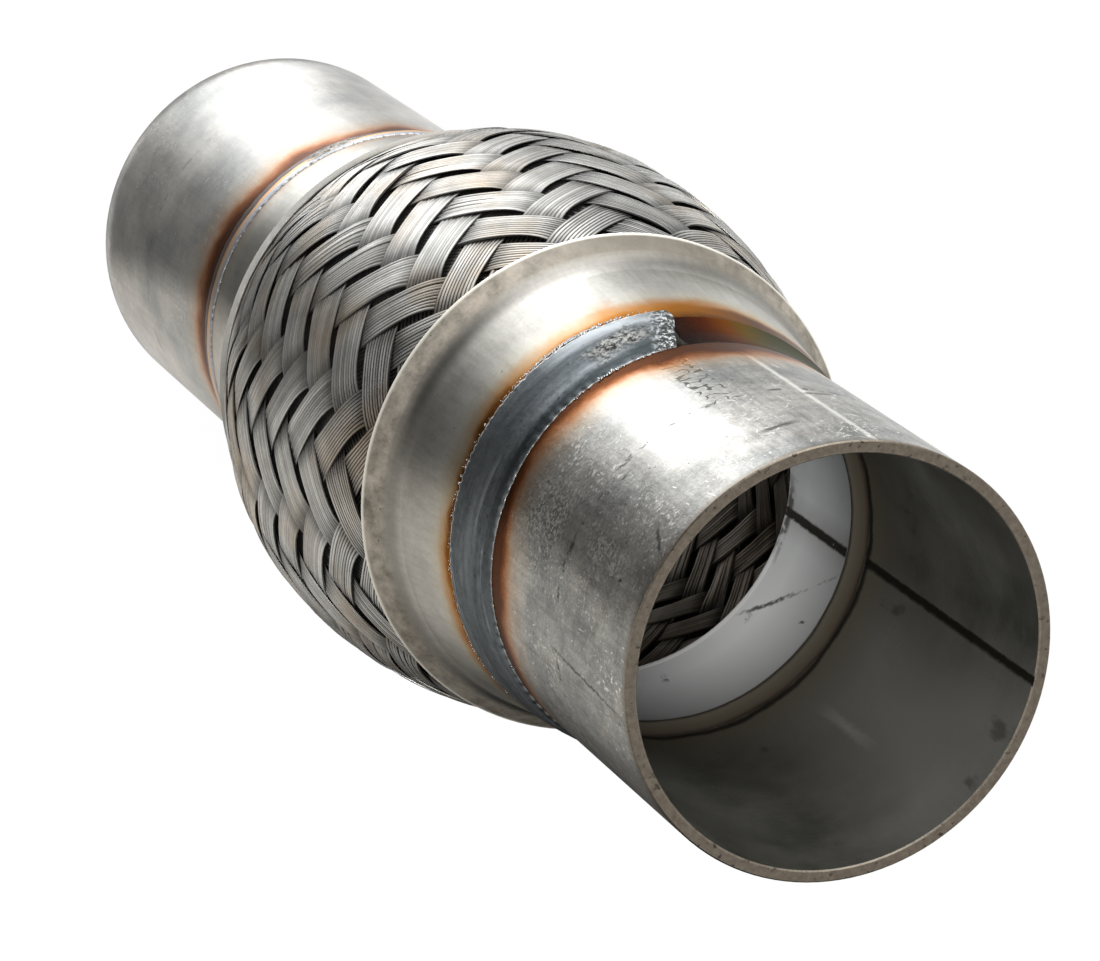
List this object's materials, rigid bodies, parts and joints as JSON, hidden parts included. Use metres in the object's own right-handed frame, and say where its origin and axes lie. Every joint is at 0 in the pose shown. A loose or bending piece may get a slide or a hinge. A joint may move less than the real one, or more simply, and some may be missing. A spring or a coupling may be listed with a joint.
{
  "type": "exhaust flex pipe",
  "caption": "Straight exhaust flex pipe: a corrugated bellows under a bulging braided steel jacket, with flared end caps ring-welded to a plain tube at each end.",
  "frame": {"origin": "centre of the far tube's rim, where the pipe stands on the floor", "axes": "+Z along the pipe's axis, from the far rim up to the near rim"},
  "size_m": [0.0894, 0.0894, 0.25],
  "materials": {
    "tube_steel": "mill finish, scuffed",
    "weld_metal": "as welded, slate grey",
    "cap_steel": "satin with heat tint",
    "sleeve_steel": "satin",
    "bellows_steel": "satin",
    "inner_braid_steel": "dull wire",
    "outer_braid_steel": "bright wire"
  },
  "bodies": {
    "root": {"near_tube": "tube_steel", "far_tube": "tube_steel", "near_weld": "weld_metal", "far_weld": "weld_metal", "near_cap": "cap_steel", "far_cap": "cap_steel", "near_sleeve": "sleeve_steel", "far_sleeve": "sleeve_steel", "bellows": "bellows_steel", "inner_braid": "inner_braid_steel", "outer_braid": "outer_braid_steel"}
  },
  "joints": []
}
